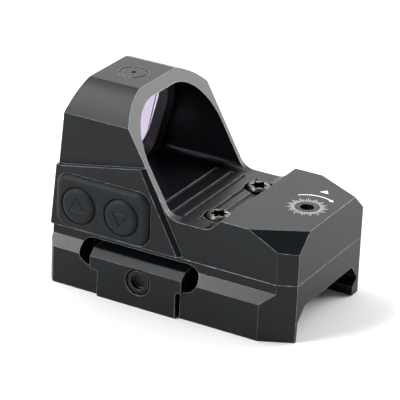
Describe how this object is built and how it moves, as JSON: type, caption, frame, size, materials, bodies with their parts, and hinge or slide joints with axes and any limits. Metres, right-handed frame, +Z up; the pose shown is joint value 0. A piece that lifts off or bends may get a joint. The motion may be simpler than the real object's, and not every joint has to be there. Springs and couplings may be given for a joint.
{
  "type": "red dot finder",
  "caption": "Open reflex red dot finder with a hooded lens, side keypad and side battery drawer, on a rail clamp mount with a cross bolt and sliding jaw.",
  "frame": {"origin": "middle of the rail seat, the flat ceiling of the mount's rail channel", "axes": "+Z up, away from the rail; +Y forward along the rail, towards the target; +X to the user's right"},
  "size_m": [0.0312, 0.0454, 0.0348],
  "materials": {
    "anodised_aluminium": "black hard-anodised aluminium, fine matt blast",
    "black_polymer": "moulded black polymer",
    "silicone_rubber": "matt moulded silicone rubber",
    "coated_glass": "polished glass with a lilac dielectric coating",
    "clear_glass": "polished flat glass",
    "burnished_steel": "turned and burnished steel",
    "blackened_steel": "turned steel, black oxide",
    "spring_steel": "drawn spring steel wire and strip",
    "brass": "turned brass",
    "diode_package": "moulded diode package",
    "circuit_board": "green laminate",
    "switch_metal": "pressed tinplate",
    "cell_steel": "pressed nickel-plated steel"
  },
  "bodies": {
    "base": {"base_gasket": "silicone_rubber", "battery_contact_side": "spring_steel", "battery_contact_top": "spring_steel", "clamp_washer": "blackened_steel", "down_switch": "switch_metal", "elevation_spring": "spring_steel", "emitter_window": "clear_glass", "jaw_guide_pins": "blackened_steel", "jaw_spring_front": "spring_steel", "jaw_spring_rear": "spring_steel", "keypad_boot": "silicone_rubber", "lens_bezel": "black_polymer", "locating_pins": "blackened_steel", "main_board": "circuit_board", "mounting_screws": "burnished_steel", "objective_lens": "coated_glass", "rail_mount": "anodised_aluminium", "sight_housing": "anodised_aluminium", "switch_board": "circuit_board", "up_switch": "switch_metal"},
    "up_button": {"up_button": "silicone_rubber"},
    "down_button": {"down_button": "silicone_rubber"},
    "elevation_screw": {"elevation_screw": "blackened_steel"},
    "windage_screw": {"windage_screw": "blackened_steel"},
    "windage_nut": {"windage_nut": "brass"},
    "elevation_slide": {"elevation_slide": "brass", "windage_spring": "spring_steel"},
    "emitter": {"emitter_carrier": "black_polymer", "emitter_diode": "diode_package"},
    "battery_drawer": {"battery_tray": "anodised_aluminium", "battery_cell": "cell_steel", "tray_seal": "silicone_rubber"},
    "clamp_bolt": {"clamp_bolt": "blackened_steel"},
    "clamp_jaw": {"clamp_jaw": "anodised_aluminium"}
  },
  "joints": [
    {"name": "up_button_press", "type": "slide", "parent": "base", "child": "up_button", "axis": [1, 0, 0], "range_m": [0, 0.0004], "stiffness_N_per_m": 4000},
    {"name": "down_button_press", "type": "slide", "parent": "base", "child": "down_button", "axis": [1, 0, 0], "range_m": [0, 0.0004], "stiffness_N_per_m": 4000},
    {"name": "elevation_slide_lift", "type": "slide", "parent": "base", "child": "elevation_slide", "axis": [0, 0, 1], "range_m": [-0.0004, 0.0004], "deforming": ["elevation_spring"]},
    {"name": "elevation_screw_turn", "type": "hinge", "parent": "base", "child": "elevation_screw", "pos_m": [0, -0.01795, 0.012], "axis": [0, 0, 1], "range_deg": [-360, 360]},
    {"name": "emitter_shift", "type": "slide", "parent": "elevation_slide", "child": "emitter", "axis": [1, 0, 0], "range_m": [-0.0004, 0.0004], "deforming": ["windage_spring"]},
    {"name": "windage_nut_shift", "type": "slide", "parent": "base", "child": "windage_nut", "axis": [1, 0, 0], "range_m": [-0.0004, 0.0004]},
    {"name": "windage_screw_turn", "type": "hinge", "parent": "base", "child": "windage_screw", "pos_m": [0.01, -0.01375, 0.0104], "axis": [1, 0, 0], "range_deg": [-360, 360]},
    {"name": "battery_drawer_slide", "type": "slide", "parent": "base", "child": "battery_drawer", "axis": [1, 0, 0], "range_m": [0, 0.0225]},
    {"name": "clamp_jaw_slide", "type": "slide", "parent": "base", "child": "clamp_jaw", "axis": [-1, 0, 0], "range_m": [0, 0.0021], "deforming": ["jaw_spring_rear", "jaw_spring_front"]},
    {"name": "clamp_bolt_turn", "type": "hinge", "parent": "base", "child": "clamp_bolt", "pos_m": [0, 0.00505, -0.001], "axis": [1, 0, 0], "range_deg": [0, 1080]}
  ],
  "couplings": [
    {"joint": "elevation_screw_turn", "follows": "elevation_slide_lift", "rad_per_m": -15708},
    {"joint": "windage_nut_shift", "follows": "emitter_shift", "ratio": 1},
    {"joint": "windage_screw_turn", "follows": "emitter_shift", "rad_per_m": -15708},
    {"joint": "clamp_bolt_turn", "follows": "clamp_jaw_slide", "rad_per_m": 8975.9}
  ]
}
